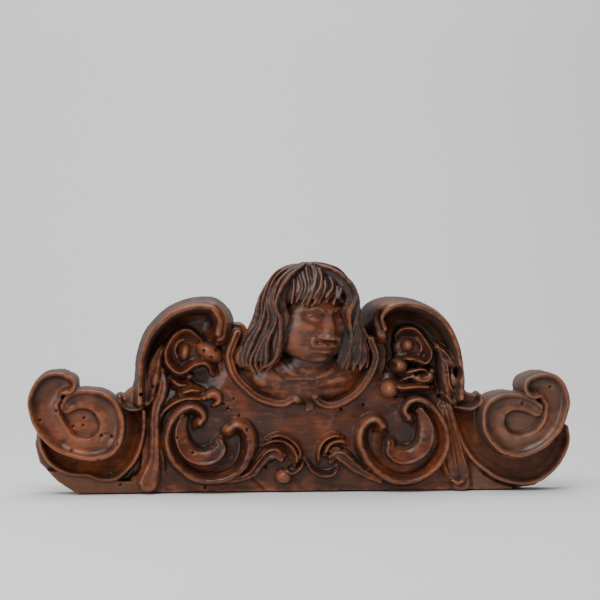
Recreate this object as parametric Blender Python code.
import math

import bmesh
import bpy
import numpy as np

# Overall sizes of the carving, in metres
OVERALL_LENGTH = 0.722
OVERALL_HEIGHT = 0.307

# Fronts of the main levels, in metres forward of the flat back
FIELD_FRONT = 0.040
PLAIN_CORNER_FRONT = 0.042
HOLLOW_FLOOR = 0.029
VOLUTE_FRONT = 0.072
VOLUTE_CHANNEL_DEPTH = 0.011
VOLUTE_EYE_FLOOR = 0.054
VOLUTE_END_SUNK = 0.0035
TALL_SCROLL_FRONT = 0.074
LOWER_SCROLL_FRONT = 0.060
TONGUE_FRONT = 0.056
DISH_FLOOR = 0.028
DISH_RIM_FRONT = 0.050
STEM_FRONT = 0.051
EAR_FRONT = 0.052
KNOB_FRONT = 0.060
LEAF_FRONT = 0.052
CAP_FRONT = 0.050
MEDALLION_FRONT = 0.058
DRAPE_FRONT = 0.054
SHOULDER_FRONT = 0.068
RIDGE_DEPTH = 0.012
ROOT_SUNK = 0.004
PLATE_SUNK = 0.008

# Widths that the carver's tools leave, in metres
BEAD_HALF_WIDTH = 0.0030
EDGE_DRAFT = 0.002
MEDALLION_HALF_WIDTH = 0.0045
EAR_HALF_WIDTH = 0.0042

# The bust: places, half sizes (across, front to back, up) and turn
HEAD_CENTRE = (0.014, 0.060, 0.228)
FACE_HALF = (0.045, 0.043, 0.058)
HAIR_CENTRE = (0.004, 0.048, 0.236)
HAIR_HALF = (0.058, 0.042, 0.060)
CROWN_CENTRE = (0.007, 0.054, 0.262)
CROWN_HALF = (0.046, 0.040, 0.038)
HAIR_OVER_FACE = (0.011, 0.007, 0.016)
HAIR_CAP_SHIFT = (-0.006, -0.004, 0.000)
HEAD_TURN = math.radians(25.0)
HEAD_NOD = math.radians(6.0)
NECK_RADIUS = 0.028
NECK_FOOT = (0.002, 0.046, 0.140)
NECK_TOP = (0.010, 0.062, 0.190)
SHOULDER_HALF_WIDTH = 0.080
SHOULDER_HALF_HEIGHT = 0.034
SHOULDER_HEIGHT = 0.150
NAPE_CENTRE = (0.004, 0.030, 0.205)
NAPE_HALF = (0.068, 0.038, 0.045)
LEFT_ROOT_CENTRE = (-0.048, 0.036, 0.186)
LEFT_ROOT_HALF = (0.034, 0.025, 0.028)
RIGHT_ROOT_CENTRE = (0.046, 0.034, 0.180)
RIGHT_ROOT_HALF = (0.024, 0.022, 0.022)
TEMPLE_CENTRE = (-0.022, 0.070, 0.250)
TEMPLE_HALF = (0.018, 0.022, 0.018)
SIDE_LOCK_WIDTH = 0.0074
SIDE_LOCK_COUNT = 6
FRINGE_LOCK_WIDTH = 0.0062
FRINGE_LOCK_COUNT = 8
LOCK_WAVE = 0.0026

# Fineness of the carved skin
SKIN_STEP = 0.0020
FACE_BUDGET = 9200

# The carver's layout is drawn in millimetres over this sheet, and stretched to the overall sizes
SHEET_LENGTH = 722.0
SHEET_HEIGHT = 307.0
BACK_OVERLAP = 0.008

# Layout of each side, as distance from the middle, height, and width where it varies
LEFT = {
    "side": -1,
    "dish_turn": -1,
    "volute": [(303, 147, 9), (313, 147, 16), (325, 140, 20), (334, 125, 19.8), (334, 114, 19),
               (330.5, 101, 18.5), (322, 86, 17.5), (310, 72.5, 15.5), (300, 66, 13.5), (284, 61.5, 13.5),
               (269, 61.5, 15), (256, 67.5, 17), (249, 78, 16.3), (246.7, 95, 15.6), (253.5, 112.5, 15.8),
               (263.5, 121, 15), (274, 124.5, 13), (286, 125.5, 12.4), (296, 123, 12), (304, 117, 9)],
    "lip": [(318, 154, 4), (309, 151, 6.5), (303, 144, 7.5), (303, 135, 6.5)],
    "eye": (287, 95, 31, 26),
    "web": (303, 120, 14, 20),
    "tall": [(210.5, 122, 9), (210.5, 136, 8), (209, 171, 8), (205, 189, 8.5), (198, 207, 9),
             (187, 221, 9.5), (172, 234, 10.5), (158, 241, 11.5), (141, 245.5, 12.5), (127, 245.5, 14),
             (117, 243, 16), (110.5, 235, 19), (107, 225, 21), (109, 212, 22)],
    "hollows": [(152, 178, 56, 68), (126, 205, 30, 30)],
    "lower": [(134, 98, 5), (130, 106, 6), (140, 113, 6.5), (155, 110, 6.5), (168, 100, 6.5),
              (175, 86, 5.5), (177, 70, 5.5), (167, 45, 5.5), (154, 32, 5.5), (136, 24, 5.5),
              (107, 23, 6.5), (82, 40, 12), (72, 62, 12), (78, 81, 12), (91, 85, 10.5), (100, 77, 6.5)],
    "tongue": [(150, 104, 8), (155, 93, 8.5), (155, 79, 8.5), (149, 66, 9), (137, 56, 9),
               (124, 53, 9), (112, 58, 9), (104, 69, 6.5)],
    "dish": [(341, 80), (339, 63), (331, 46), (318, 34), (298, 26), (279, 25), (262, 19),
             (242, 20), (225, 34), (214, 50), (208, 69), (205, 88), (205, 107)],
    "foot_outline": [(205, 110), (205, 0), (293, 0), (318, 16), (342, 40), (348, 62), (346, 78),
                     (336, 92), (300, 110)],
    "stem": [(181, 164, 4.5), (181, 146, 6.5), (184, 130, 7), (191, 114, 6.5), (193, 92, 6),
             (192, 66, 6.5), (193, 46, 8), (198, 29, 11), (201, 17, 13)],
    "ridges": [
        [(181, 31, 2.5), (184, 52, 2.5), (187, 71, 2.5), (187, 90, 2.5), (184, 102, 2.5),
         (176, 115, 2.5), (158, 125, 3), (139, 127, 3), (124, 129, 4), (116, 133, 6.5),
         (108, 131, 8), (105, 123, 6), (111, 117, 3)],
        [(155, 132, 2.5), (146, 136, 4), (134, 138, 2.5)],
    ],
    "drape": [(177, 207, 3.5), (184, 191, 6.5), (190, 174, 9), (193, 157, 9.5), (197, 143, 10),
              (202, 129, 10.5)],
    "ear": [(133, 210), (142, 215), (153, 217), (164, 213), (173, 202), (177, 187), (175, 173),
            (168, 164), (159, 162), (151, 166), (142, 171), (133, 173), (124, 169), (119, 160)],
    "knobs": [(153, 188, 6, 10), (121, 187, 17, 14), (146, 156, 3.5, 3.5)],
    "cap": [(237, 126), (235, 118), (226, 111), (214, 111), (205, 116)],
    "cap_body": [(190, 140), (190, 104), (226, 107), (240, 117), (241, 125), (233, 125), (214, 130)],
    "medallion": [(85, 209), (94, 184), (92, 167), (85, 152), (71, 137), (58, 127), (41, 120),
                  (23, 118), (11, 123)],
}
RIGHT = {
    "side": 1,
    "dish_turn": 1,
    "volute": [(306, 140, 9), (316, 143, 16), (330, 137, 18.5), (338, 121, 17), (337.5, 107, 15),
               (332.5, 90, 13.5), (323.5, 78, 12.5), (314, 69.5, 12.7), (300, 63, 13.3), (287.5, 60.6, 13.9),
               (273.5, 63.5, 14.5), (262.5, 71.5, 14.3), (255, 84, 14.9), (253.5, 95, 15.3),
               (256, 107.5, 16), (264, 114.5, 14.8), (275, 118.5, 12.5), (288, 118.5, 11),
               (301, 115.5, 10.5), (312, 109, 9)],
    "lip": [(318, 149, 4), (310, 147, 7.5), (305, 140, 8.5), (307, 131, 7.5)],
    "eye": (292, 93, 32, 24),
    "web": (308, 116, 16, 20),
    "tall": [(210, 126, 7), (211, 141, 6.5), (210, 160, 6.5), (206, 187, 7.5), (197, 211, 8.5),
             (185, 228, 9), (170, 239, 9.5), (151, 246.5, 10), (129, 248.5, 11), (113, 243, 16),
             (105, 232, 23), (109, 218, 26)],
    "hollows": [(150, 178, 54, 68), (126, 212, 30, 36)],
    "lower": [(141, 103, 5.5), (138, 112, 5.5), (144, 121, 5.5), (155, 123, 5.5), (168, 119, 5.5),
              (180, 107, 5.5), (189, 90, 5.5), (190, 65, 5.5), (177, 40, 5.5), (153, 23, 6.5),
              (123, 20, 6.5), (95, 36, 6.5), (81, 60, 6.5), (81, 83, 7.5), (91, 96, 8), (103, 92, 6.5)],
    "tongue": [(144, 112, 6.5), (158, 104, 8.5), (166, 88, 10.5), (163, 69, 11), (151, 55, 11),
               (134, 49, 11), (120, 58, 9), (119, 69, 5.5)],
    "dish": [(199, 110), (206, 87), (217, 60), (230, 41), (248, 26), (264, 16), (285, 10),
             (304, 9), (323, 15), (342, 31), (354, 50), (359, 67), (357, 83)],
    "foot_outline": [(199, 110), (199, 0), (290, 0), (318, 4), (336, 16), (354, 36), (364, 60),
                     (364, 76), (352, 88), (300, 110)],
    "stem": [(192, 117, 5.5), (194, 96, 5.5), (197, 70, 6.5), (204, 45, 10.5), (212, 27, 14.5),
             (216, 15, 15)],
    "ridges": [
        [(170, 138, 2.5), (156, 140, 3.5), (137, 139, 4), (125, 140, 7), (117, 135, 9), (121, 126, 8)],
        [(168, 176, 3), (153, 177, 4), (143, 174, 4.5), (134, 171, 8), (126, 167, 8)],
        [(176, 156, 4.5), (159, 149, 4.5), (143, 154, 3)],
    ],
    "drape": [(176, 206, 4), (183, 192, 7), (190, 177, 10), (194, 161, 11.5), (197, 145, 12),
              (200, 131, 12)],
    "ear": [(128, 203), (125, 210), (133, 217), (144, 219), (154, 216), (163, 207), (169, 195),
            (171, 182), (166, 172), (157, 174), (149, 176)],
    "knobs": [(143, 196, 9, 8)],
    "cap": [(241, 125), (239, 117), (228, 109), (208, 112)],
    "cap_body": [(190, 142), (190, 104), (226, 106), (243, 117), (245, 127), (228, 128), (212, 134)],
    "medallion": [(93, 200), (99, 183), (97, 168), (90, 152), (76, 133), (59, 121), (41, 115),
                  (27, 118), (18, 126)],
}

# The plain corner under the left dish, cut back to bare wood
PLAIN_CORNER = [(-293, 0), (-200, 0), (-200, 14), (-222, 17), (-262, 20), (-279, 25), (-298, 26),
                (-318, 31), (-334, 33), (-318, 16)]

# The foot under the right stem, level with the field
RIGHT_FOOT = [(190, 0), (190, 60), (212, 66), (226, 42), (246, 22), (264, 11), (285, 5), (290, 0)]

# Leaf scrolls under the medallion, as signed distance from the middle, height and half width
CENTRE_LEAVES = [
    [(-44, 75, 2.5), (-33, 77, 2.5), (-19, 74, 2.5), (-9, 67, 2.5), (-3, 57, 2.5), (-2, 47, 2.5),
     (-6, 39, 2.5)],
    [(-50, 63, 3), (-40, 67, 4.5), (-27, 67, 5), (-18, 61, 5.5), (-12, 51, 6), (-13, 40, 4)],
    [(-93, 16, 3.5), (-79, 20, 5), (-68, 28, 5.5), (-59, 39, 6.5), (-50, 48, 8), (-40, 50, 8),
     (-31, 44, 4)],
    [(-3, 33, 2.5), (-12, 22, 5), (-23, 25, 9), (-27, 33, 6)],
    [(59, 65, 2.5), (47, 69, 3.5), (34, 70, 4), (25, 62, 4), (22, 51, 4), (23, 41, 3)],
    [(1, 46, 2.5), (9, 35, 2.5), (20, 26, 3.5), (31, 22, 4), (41, 26, 4), (47, 34, 3)],
    [(36, 40, 4), (43, 48, 8), (54, 46, 8.5), (66, 40, 7), (80, 30, 6), (100, 17, 3)],
]

# Guides that the locks of hair are spaced between, as shares of the hair cap's half sizes across,
# forward and up
LEFT_LOCKS = [
    [(-0.14, 0.00, 0.95), (-0.75, -0.04, 0.81), (-1.12, -0.12, 0.40), (-1.25, -0.18, 0.00),
     (-1.45, -0.22, -0.40), (-1.54, -0.22, -0.70), (-1.25, -0.20, -0.86)],
    [(-0.07, 0.44, 0.97), (-0.50, 0.76, 0.68), (-0.71, 0.84, 0.32), (-0.57, 0.76, 0.00),
     (-0.68, 0.56, -0.35), (-0.82, 0.32, -0.68), (-1.00, 0.16, -0.84)],
]
RIGHT_LOCKS = [
    [(0.04, 0.00, 0.95), (0.64, -0.08, 0.78), (0.96, -0.16, 0.40), (1.09, -0.20, 0.03),
     (1.14, -0.22, -0.31), (1.28, -0.20, -0.62), (1.25, -0.12, -0.84)],
    [(0.04, 0.44, 0.97), (0.57, 0.68, 0.78), (0.88, 0.60, 0.46), (0.86, 0.44, 0.11),
     (0.84, 0.24, -0.27), (0.75, 0.08, -0.57), (0.68, 0.00, -0.81)],
]
FRINGE_LOCKS = [
    [(-0.11, 0.36, 0.98), (-0.43, 0.72, 0.81), (-0.61, 0.86, 0.54), (-0.75, 0.88, 0.30)],
    [(0.04, 0.36, 0.98), (0.61, 0.68, 0.86), (0.86, 0.70, 0.60), (0.75, 0.74, 0.32)],
]


def to_metres(points):
    """Layout points on the sheet, as metres across and up, with any width after them."""
    rows = np.array(points, dtype=float)
    rows[:, 0] *= OVERALL_LENGTH / SHEET_LENGTH
    rows[:, 1] *= OVERALL_HEIGHT / SHEET_HEIGHT
    if rows.shape[1] > 2:
        rows[:, 2:] *= 0.001
    return rows


def smooth_path(rows, count):
    """A smooth curve through the rows, with its stations evenly spaced."""
    rows = np.asarray(rows, dtype=float)
    padded = np.vstack([2 * rows[0] - rows[1], rows, 2 * rows[-1] - rows[-2]])
    fine = []
    for i in range(1, len(padded) - 2):
        a, b, c, d = padded[i - 1:i + 3]
        for t in np.linspace(0.0, 1.0, 16, endpoint=False):
            fine.append(0.5 * (2 * b + (c - a) * t + (2 * a - 5 * b + 4 * c - d) * t ** 2
                               + (3 * b - a - 3 * c + d) * t ** 3))
    fine.append(padded[-2])
    fine = np.array(fine)
    steps = np.linalg.norm(np.diff(fine[:, :2], axis=0), axis=1)
    along = np.concatenate([[0.0], np.cumsum(steps)])
    even = np.linspace(0.0, along[-1], count)
    return np.column_stack([np.interp(even, along, fine[:, k]) for k in range(fine.shape[1])])


def skin_rings(bm, rings):
    """Closed rings of points joined into a capped tube."""
    loops = [[bm.verts.new(p) for p in ring] for ring in rings]
    for near, far in zip(loops, loops[1:]):
        for i in range(len(near)):
            j = (i + 1) % len(near)
            bm.faces.new((near[i], near[j], far[j], far[i]))
    bm.faces.new(list(reversed(loops[0])))
    bm.faces.new(loops[-1])


def flat_sweep(bm, rows, side, inner, section, count=48):
    """A section, as offsets toward the inside and heights off the back, run along a layout path."""
    path = smooth_path(rows, count)
    tangent = np.gradient(path[:, :2], axis=0)
    tangent /= np.linalg.norm(tangent, axis=1)[:, None]
    normal = np.column_stack([-tangent[:, 1], tangent[:, 0]]) * inner
    rings = []
    for i, row in enumerate(path):
        ring = []
        for offset, front in section(row, i / (count - 1)):
            x, z = row[:2] + normal[i] * offset
            ring.append((side * x, -front, z))
        rings.append(ring)
    skin_rings(bm, rings)


def plate(bm, outline, front, side=1):
    """A flat plate with a layout outline, from behind the back to its front.

    An outline that reaches the underside runs on past it, to be cut flat there.
    """
    ring = [(side * x, z if z > 0 else -BACK_OVERLAP) for x, z in outline]
    skin_rings(bm, [[(x, BACK_OVERLAP, z) for x, z in ring], [(x, -front, z) for x, z in ring]])


def oval(centre, half, count=32):
    """Points round an oval."""
    turn = np.linspace(0.0, 2 * math.pi, count, endpoint=False)
    return [(centre[0] + half[0] * math.cos(a), centre[1] + half[1] * math.sin(a)) for a in turn]


def ball(bm, centre, half, rows=12, columns=20, shape=None):
    """An ellipsoid with an optional rule that moves each point."""
    points = []
    for i in range(1, rows):
        lat = math.pi * (i / rows - 0.5)
        ring = []
        for j in range(columns):
            lon = 2 * math.pi * j / columns
            ring.append((math.cos(lat) * math.cos(lon), math.cos(lat) * math.sin(lon), math.sin(lat)))
        points.append(ring)
    rings = [[place_on(p, centre, half, shape) for p in ring] for ring in points]
    loops = [[bm.verts.new(p) for p in ring] for ring in rings]
    low = bm.verts.new(place_on((0.0, 0.0, -1.0), centre, half, shape))
    high = bm.verts.new(place_on((0.0, 0.0, 1.0), centre, half, shape))
    for near, far in zip(loops, loops[1:]):
        for i in range(columns):
            j = (i + 1) % columns
            bm.faces.new((near[i], near[j], far[j], far[i]))
    for i in range(columns):
        j = (i + 1) % columns
        bm.faces.new((low, loops[0][j], loops[0][i]))
        bm.faces.new((high, loops[-1][i], loops[-1][j]))


def place_on(unit, centre, half, shape):
    point = np.array(unit) * np.array(half)
    if shape is not None:
        point = shape(point)
    return (centre[0] + point[0], -centre[1] + point[1], centre[2] + point[2])


def taper(t, start, end):
    """One along the middle of a path, easing to a rounded tip over a share of it at each end."""
    value = 1.0
    if start > 0 and t < start:
        value = math.sqrt(max(0.0, 1 - (1 - t / start) ** 2))
    if end > 0 and t > 1 - end:
        value = min(value, math.sqrt(max(0.0, 1 - (1 - (1 - t) / end) ** 2)))
    return max(value, 0.12)


def ridge_section(front, root):
    """A rounded ridge standing on the ground."""
    def section(row, t):
        half = row[2] * taper(t, 0.06, 0.06)
        top = root + (front - root) * taper(t, 0.10, 0.08)
        points = [(-half, -BACK_OVERLAP), (-half, root)]
        for a in np.linspace(0.15, 0.85, 5) * math.pi:
            points.append((-half * math.cos(a) * 0.98, root + (top - root) * math.sin(a) ** 0.7))
        points += [(half, root), (half, -BACK_OVERLAP)]
        return points
    return section


def rim_section(front, inner_floor, draft_share):
    """A bead at the path, a drafted flank outside it and a steep wall inside it."""
    def section(row, t):
        out = row[2]
        bead = BEAD_HALF_WIDTH
        return [(-out, -BACK_OVERLAP), (-out, front * 0.30), (-out * draft_share, front * 0.66),
                (-out * 0.55 - bead * 0.4, front * 0.86), (-bead, front - 0.0025),
                (0.0, front), (bead, front - 0.0020), (bead * 1.7, front - 0.010),
                (bead * 2.2, inner_floor), (bead * 2.3, -BACK_OVERLAP)]
    return section


def volute_section(front, channel):
    """A raised outer bead, a hollow channel and a lower inner edge."""
    def section(row, t):
        half = row[2]
        bead = BEAD_HALF_WIDTH
        hollow = channel * min(1.0, half / (4 * bead))
        top = front - VOLUTE_END_SUNK * max(0.0, t - 0.75) * 4
        return [(-half - EDGE_DRAFT, -BACK_OVERLAP), (-half - EDGE_DRAFT, top * 0.35),
                (-half, top - 2 * bead), (-half + 0.4 * bead, top),
                (-half + 1.2 * bead, top - 0.1 * bead), (-half * 0.45, top - hollow * 0.9),
                (half * 0.1, top - hollow), (half * 0.6, top - hollow * 0.9),
                (half - 0.4 * bead, top - hollow * 0.75), (half, top - hollow),
                (half, -BACK_OVERLAP)]
    return section


def tongue_section(front, root):
    """A leaf tongue: a bead along its outer edge and a shallow hollow."""
    def section(row, t):
        half = row[2] * taper(t, 0.0, 0.08)
        return [(-half, -BACK_OVERLAP), (-half, root), (-half * 0.85, front - 0.002),
                (-half * 0.62, front), (-half * 0.3, front - 0.003), (half * 0.3, front - 0.0045),
                (half * 0.8, front - 0.006), (half, root), (half, -BACK_OVERLAP)]
    return section


def dish_section(front, floor):
    """The rim of a dish, with a long slope down into it."""
    def section(row, t):
        bead = BEAD_HALF_WIDTH
        return [(-bead * 1.6, -BACK_OVERLAP), (-bead * 1.6, front - 0.010), (-bead, front - 0.002),
                (0.0, front), (bead, front - 0.0025), (bead * 2.8, front - 0.011),
                (bead * 5.0, floor + 0.004), (bead * 7.0, floor), (bead * 7.2, -BACK_OVERLAP)]
    return section


def bump(a, b, centre_a, centre_b, half_a, half_b):
    """A soft round swelling of height one."""
    return math.exp(-((a - centre_a) / half_a) ** 2 - ((b - centre_b) / half_b) ** 2)


def face_relief(a, b):
    """How far the plain face stands forward of its egg, by shares of the face's half sizes.

    The eyes are at the middle of the head's height, the nose ends half way from brow to chin and the
    mouth is a third of the way from nose to chin.
    """
    side = abs(a)
    relief = 0.0
    relief += 0.0034 * bump(a, b, 0.0, 0.34, 0.85, 0.10)
    relief -= 0.0062 * bump(side, b, 0.38, 0.17, 0.24, 0.13)
    relief += 0.0042 * bump(side, b, 0.38, 0.15, 0.15, 0.065)
    slope = min(1.0, max(0.0, (0.26 - b) / 0.52))
    if -0.34 < b < 0.32:
        relief += (0.0030 + 0.0100 * slope) * math.exp(-(a / (0.13 + 0.08 * slope)) ** 2)
    else:
        relief += 0.0110 * bump(a, b, 0.0, -0.28, 0.20, 0.06) * (b < 0)
    relief += 0.0022 * bump(side, b, 0.50, -0.08, 0.24, 0.20)
    relief += 0.0045 * bump(a, b, 0.0, -0.50, 0.30, 0.16)
    relief += 0.0040 * bump(side, b, 0.18, -0.39, 0.20, 0.055)
    relief += 0.0016 * bump(side, b, 0.40, -0.35, 0.09, 0.06)
    relief -= 0.0020 * bump(a, b, 0.0, -0.50, 0.24, 0.03)
    relief += 0.0020 * bump(a, b, 0.0, -0.56, 0.18, 0.045)
    relief += 0.0060 * bump(a, b, 0.0, -0.84, 0.26, 0.14)
    return relief


def face_shape(point):
    """One point of the face's egg moved by the relief, narrowed at the jaw, then turned and nodded."""
    x, y, z = point
    a = x / FACE_HALF[0]
    b = z / FACE_HALF[2]
    jaw = 1.0 + 0.16 * bump(b, 0.0, -0.45, 0.0, 0.45, 1.0)
    x *= jaw
    front = max(0.0, -y / FACE_HALF[1])
    y -= face_relief(a, b) * min(1.0, front * 1.8)
    if b < 0:
        y -= 0.006 * front * b * b
    y, z = (y * math.cos(HEAD_NOD) - z * math.sin(HEAD_NOD), z * math.cos(HEAD_NOD) + y * math.sin(HEAD_NOD))
    return np.array([x * math.cos(HEAD_TURN) - y * math.sin(HEAD_TURN),
                     x * math.sin(HEAD_TURN) + y * math.cos(HEAD_TURN), z])


def lock(bm, points, half_width, half_thickness, count=18, sides=8):
    """One tapering lock of hair along a path in space."""
    path = smooth_path([(p[0], p[2], p[1]) for p in points], count)
    spine = np.column_stack([path[:, 0], -path[:, 2], path[:, 1]])
    tangent = np.gradient(spine, axis=0)
    tangent /= np.linalg.norm(tangent, axis=1)[:, None]
    rings = []
    for i, centre in enumerate(spine):
        outward = np.array([centre[0] - HAIR_CENTRE[0], centre[1] + HAIR_CENTRE[1] * 0.2, 0.0])
        across = np.cross(tangent[i], outward)
        across /= np.linalg.norm(across)
        lift = np.cross(across, tangent[i])
        size = taper(i / (count - 1), 0.25, 0.18)
        ring = []
        for k in range(sides):
            a = 2 * math.pi * k / sides
            ring.append(tuple(centre + across * (half_width * size * math.cos(a))
                              + lift * (half_thickness * size * math.sin(a))))
        rings.append(ring)
    skin_rings(bm, rings)


def build_ground(bm):
    """The board that everything stands on."""
    field = [(-214, 0), (212, 0), (205, 60), (205, 118), (176, 132), (114, 136), (114, 222), (88, 224), (76, 214),
             (-76, 214), (-88, 218), (-114, 222), (-114, 136), (-176, 132), (-205, 118), (-208, 60)]
    plate(bm, to_metres(field), FIELD_FRONT)
    plate(bm, to_metres(PLAIN_CORNER), PLAIN_CORNER_FRONT)
    plate(bm, to_metres(RIGHT_FOOT), FIELD_FRONT)
    for layout in (LEFT, RIGHT):
        side = layout["side"]
        for x, z, across, up in layout["hollows"]:
            plate(bm, to_metres(oval((x, z), (across, up))), HOLLOW_FLOOR, side)
        for name in ("eye", "web"):
            x, z, across, up = layout[name]
            plate(bm, to_metres(oval((x, z), (across, up))), VOLUTE_EYE_FLOOR, side)
        plate(bm, to_metres(layout["foot_outline"]), DISH_FLOOR, side)
        plate(bm, to_metres(layout["cap_body"]), CAP_FRONT - PLATE_SUNK, side)


def build_side(bm, layout):
    """Scrolls and leaves of one side."""
    side = layout["side"]
    flat_sweep(bm, to_metres(layout["volute"]), side, -1, volute_section(
        VOLUTE_FRONT, VOLUTE_CHANNEL_DEPTH), 72)
    flat_sweep(bm, to_metres(layout["lip"]), side, 1, ridge_section(
        VOLUTE_FRONT, VOLUTE_FRONT - RIDGE_DEPTH), 20)
    flat_sweep(bm, to_metres(layout["tall"]), side, 1, rim_section(
        TALL_SCROLL_FRONT, HOLLOW_FLOOR, 0.93), 56)
    flat_sweep(bm, to_metres(layout["lower"]), side, -1, rim_section(
        LOWER_SCROLL_FRONT, FIELD_FRONT, 0.80), 72)
    flat_sweep(bm, to_metres(layout["tongue"]), side, -1, tongue_section(
        TONGUE_FRONT, FIELD_FRONT), 40)
    dish = [(x, z, 0.0) for x, z in layout["dish"]]
    flat_sweep(bm, to_metres(dish), side, layout["dish_turn"], dish_section(
        DISH_RIM_FRONT, DISH_FLOOR), 56)
    flat_sweep(bm, to_metres(layout["stem"]), side, 1, ridge_section(STEM_FRONT, FIELD_FRONT), 36)
    for ridge in layout["ridges"]:
        flat_sweep(bm, to_metres(ridge), side, 1, ridge_section(STEM_FRONT, FIELD_FRONT - ROOT_SUNK), 36)
    flat_sweep(bm, to_metres(layout["drape"]), side, 1, ridge_section(
        DRAPE_FRONT, HOLLOW_FLOOR), 32)
    ear = [(x, z, EAR_HALF_WIDTH * 1000) for x, z in layout["ear"]]
    flat_sweep(bm, to_metres(ear), side, 1, ridge_section(EAR_FRONT, HOLLOW_FLOOR), 48)
    cap = [(x, z, BEAD_HALF_WIDTH * 1000) for x, z in layout["cap"]]
    flat_sweep(bm, to_metres(cap), side, 1, ridge_section(CAP_FRONT, CAP_FRONT - RIDGE_DEPTH), 20)
    for x, z, across, up in layout["knobs"]:
        place = to_metres([(x, z, across, up)])[0]
        deep = KNOB_FRONT - HOLLOW_FLOOR
        ball(bm, (side * place[0], HOLLOW_FLOOR, place[1]), (place[2], deep, place[3]))
    rim = [(x, z, MEDALLION_HALF_WIDTH * 1000) for x, z in layout["medallion"]]
    flat_sweep(bm, to_metres(rim), side, 1, ridge_section(MEDALLION_FRONT, FIELD_FRONT), 48)


def build_bust(bm):
    """Shoulders, neck, head with a plain face, and the locks of hair."""
    root = FIELD_FRONT - ROOT_SUNK
    ball(bm, (0.0, root, SHOULDER_HEIGHT), (SHOULDER_HALF_WIDTH, SHOULDER_FRONT - root, SHOULDER_HALF_HEIGHT))
    rings = []
    for t in np.linspace(0.0, 1.0, 8):
        centre = (1 - t) * np.array(NECK_FOOT) + t * np.array(NECK_TOP)
        radius = NECK_RADIUS * (1.25 - 0.25 * math.sin(math.pi * t * 0.5))
        rings.append([(centre[0] + radius * math.cos(a), radius * 0.8 * math.sin(a) - centre[1], centre[2])
                      for a in np.linspace(0.0, 2 * math.pi, 20, endpoint=False)])
    skin_rings(bm, rings)
    ball(bm, HAIR_CENTRE, HAIR_HALF, 16, 28)
    ball(bm, CROWN_CENTRE, CROWN_HALF, 16, 28)
    # the wood left solid behind the locks
    ball(bm, NAPE_CENTRE, NAPE_HALF, 12, 24)
    ball(bm, LEFT_ROOT_CENTRE, LEFT_ROOT_HALF)
    ball(bm, RIGHT_ROOT_CENTRE, RIGHT_ROOT_HALF)
    ball(bm, TEMPLE_CENTRE, TEMPLE_HALF)
    ball(bm, HEAD_CENTRE, FACE_HALF, 60, 84, face_shape)
    build_locks(bm, LEFT_LOCKS, SIDE_LOCK_COUNT, SIDE_LOCK_WIDTH)
    build_locks(bm, RIGHT_LOCKS, SIDE_LOCK_COUNT, SIDE_LOCK_WIDTH)
    build_locks(bm, FRINGE_LOCKS, FRINGE_LOCK_COUNT, FRINGE_LOCK_WIDTH, on_cap=True)


def build_locks(bm, guides, number, width, on_cap=False):
    """Locks spaced between two guides; those on the cap lie on its front."""
    cap_half = np.array(FACE_HALF) + np.array(HAIR_OVER_FACE)
    cap_centre = np.array(HEAD_CENTRE) + np.array(HAIR_CAP_SHIFT)
    outer, inner = np.array(guides)
    for k in range(number):
        share = k / (number - 1)
        points = (1 - share) * outer + share * inner
        if on_cap:
            points[:, 1] = np.sqrt(np.clip(1 - points[:, 0] ** 2 - points[:, 2] ** 2, 0.04, 1.0))
        points = cap_centre + points * cap_half
        for i in range(1, len(points) - 1):
            points[i, 0] += LOCK_WAVE * math.sin(2.1 * i + 1.7 * k)
        lock(bm, points, width, width)


def build_centre(bm):
    """Leaf scrolls under the medallion and the small tab between its curls."""
    for leaf in CENTRE_LEAVES:
        flat_sweep(bm, to_metres(leaf), 1, 1, ridge_section(LEAF_FRONT, FIELD_FRONT - ROOT_SUNK), 36)
    tab = to_metres([(3, 108, 0), (3, 136, 0), (22, 136, 0), (20, 108, 0)])
    plate(bm, [(x, z) for x, z, w in tab], MEDALLION_FRONT - PLATE_SUNK)


def largest_body(mesh):
    """The mesh without any small pocket left closed inside it."""
    bm = bmesh.new()
    bm.from_mesh(mesh)
    bodies = []
    seen = set()
    for start in bm.verts:
        if start in seen:
            continue
        seen.add(start)
        body = [start]
        for vert in body:
            for edge in vert.link_edges:
                other = edge.other_vert(vert)
                if other not in seen:
                    seen.add(other)
                    body.append(other)
        bodies.append(body)
    bodies.sort(key=len)
    for body in bodies[:-1]:
        bmesh.ops.delete(bm, geom=body, context="VERTS")
    bm.to_mesh(mesh)
    bm.free()
    return mesh


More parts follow.
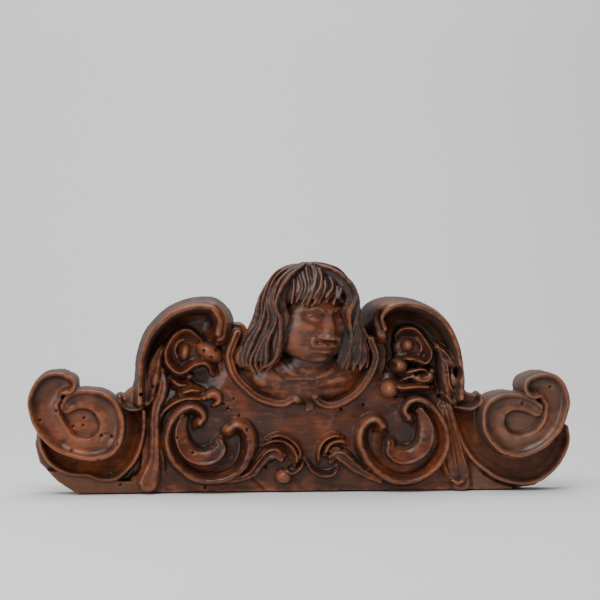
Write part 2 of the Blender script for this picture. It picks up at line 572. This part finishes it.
def carved_material():
    wood = bpy.data.materials.new("walnut")
    wood.use_nodes = True
    shader = wood.node_tree.nodes["Principled BSDF"]
    shader.inputs["Base Color"].default_value = (0.085, 0.030, 0.014, 1.0)
    shader.inputs["Roughness"].default_value = 0.38
    shader.inputs["Metallic"].default_value = 0.0
    return wood


for old in list(bpy.data.objects):
    bpy.data.objects.remove(old, do_unlink=True)

bm = bmesh.new()
build_ground(bm)
build_side(bm, LEFT)
build_side(bm, RIGHT)
build_centre(bm)
build_bust(bm)
bmesh.ops.recalc_face_normals(bm, faces=bm.faces)
mesh = bpy.data.meshes.new("carved_overdoor")
bm.to_mesh(mesh)
bm.free()
carving = bpy.data.objects.new("carved_overdoor", mesh)
bpy.context.scene.collection.objects.link(carving)
mesh.materials.append(carved_material())

skin = carving.modifiers.new("skin", "REMESH")
skin.mode = "VOXEL"
skin.voxel_size = SKIN_STEP
skin.use_smooth_shade = True
depsgraph = bpy.context.evaluated_depsgraph_get()
skinned = largest_body(bpy.data.meshes.new_from_object(carving.evaluated_get(depsgraph)))
carving.modifiers.remove(skin)
carving.data = skinned
faces_of_skin = sum(len(p.vertices) - 2 for p in skinned.polygons)
corners = np.array([v.co for v in skinned.vertices])
thin = carving.modifiers.new("thin", "DECIMATE")
thin.decimate_type = "COLLAPSE"
thin.ratio = FACE_BUDGET / faces_of_skin

# The flat back and underside are cut by a plain block round the carving
low = corners.min(axis=0)
high = corners.max(axis=0)
middle = (low[0] + high[0]) / 2
block_mesh = bpy.data.meshes.new("trim_block")
block = bmesh.new()
bmesh.ops.create_cube(block, size=1.0)
margin = 0.02
size = np.array([high[0] - low[0] + 2 * margin, -low[1] + margin, high[2] + margin])
centre = np.array([middle, (low[1] - margin) / 2, (high[2] + margin) / 2])
for v in block.verts:
    v.co = [centre[k] + v.co[k] * size[k] for k in range(3)]
block.to_mesh(block_mesh)
block.free()
trim_block = bpy.data.objects.new("trim_block", block_mesh)
bpy.context.scene.collection.objects.link(trim_block)
trim_block.hide_render = True
trim_block.display_type = "WIRE"
trim = carving.modifiers.new("trim", "BOOLEAN")
trim.operation = "INTERSECT"
trim.object = trim_block

# The frame's origin is the middle of the underside
shift = (-middle, -low[1] / 2, 0.0)
carving.location = shift
trim_block.location = shift
